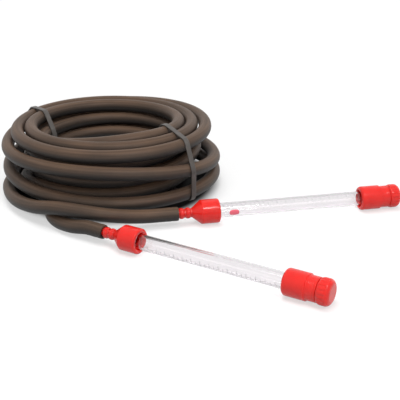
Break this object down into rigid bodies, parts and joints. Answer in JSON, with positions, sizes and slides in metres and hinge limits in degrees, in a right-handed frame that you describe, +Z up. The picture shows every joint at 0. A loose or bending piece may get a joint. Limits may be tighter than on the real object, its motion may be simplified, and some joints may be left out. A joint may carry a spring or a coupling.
{
  "type": "hose water level",
  "caption": "Hose water level: clear graduated sight tubes with red barbed fittings and screw caps, joined by a long dark rubber hose wound into a tied coil.",
  "frame": {"origin": "axis of the hose coil, on the floor that the part lies on", "axes": "+Z up out of the floor, +X along sight tube A towards its cap, +Y away from the two sight tubes"},
  "size_m": [0.4358, 0.4723, 0.088],
  "materials": {
    "hose_rubber": "matt dark brown-grey rubber",
    "tie_band": "smooth dark grey band",
    "red_plastic": "glossy moulded red",
    "clear_tube": "clear, polished",
    "seal_rubber": "black rubber"
  },
  "bodies": {
    "hose_and_tubes": {"hose_coil": "hose_rubber", "hose_end_a": "hose_rubber", "hose_end_b": "hose_rubber", "tie_front": "tie_band", "tie_rear": "tie_band", "lower_fitting_a": "red_plastic", "lower_seal_a": "seal_rubber", "sight_tube_a": "clear_tube", "upper_fitting_a": "red_plastic", "upper_seal_a": "seal_rubber", "lower_fitting_b": "red_plastic", "lower_seal_b": "seal_rubber", "sight_tube_b": "clear_tube", "upper_fitting_b": "red_plastic", "upper_seal_b": "seal_rubber"},
    "cap_gasket_a": {"cap_gasket_a": "seal_rubber"},
    "cap_a": {"cap_a": "red_plastic"},
    "cap_gasket_b": {"cap_gasket_b": "seal_rubber"},
    "cap_b": {"cap_b": "red_plastic"}
  },
  "joints": [
    {"name": "cap_a_lift", "type": "slide", "parent": "hose_and_tubes", "child": "cap_gasket_a", "axis": [1, 0, 0], "range_m": [0, 0.009]},
    {"name": "cap_a_turn", "type": "hinge", "parent": "cap_gasket_a", "child": "cap_a", "pos_m": [0.2963, -0.138, 0.01325], "axis": [1, 0, 0], "range_deg": [0, 1080]},
    {"name": "cap_b_lift", "type": "slide", "parent": "hose_and_tubes", "child": "cap_gasket_b", "axis": [0.7314, -0.682, 0], "range_m": [0, 0.009]},
    {"name": "cap_b_turn", "type": "hinge", "parent": "cap_gasket_b", "child": "cap_b", "pos_m": [0.14927, -0.3313, 0.01325], "axis": [0.7314, -0.682, 0], "range_deg": [0, 1080]}
  ],
  "couplings": [
    {"joint": "cap_a_lift", "follows": "cap_a_turn", "m_per_rad": 0.000477},
    {"joint": "cap_b_lift", "follows": "cap_b_turn", "m_per_rad": 0.000477}
  ]
}
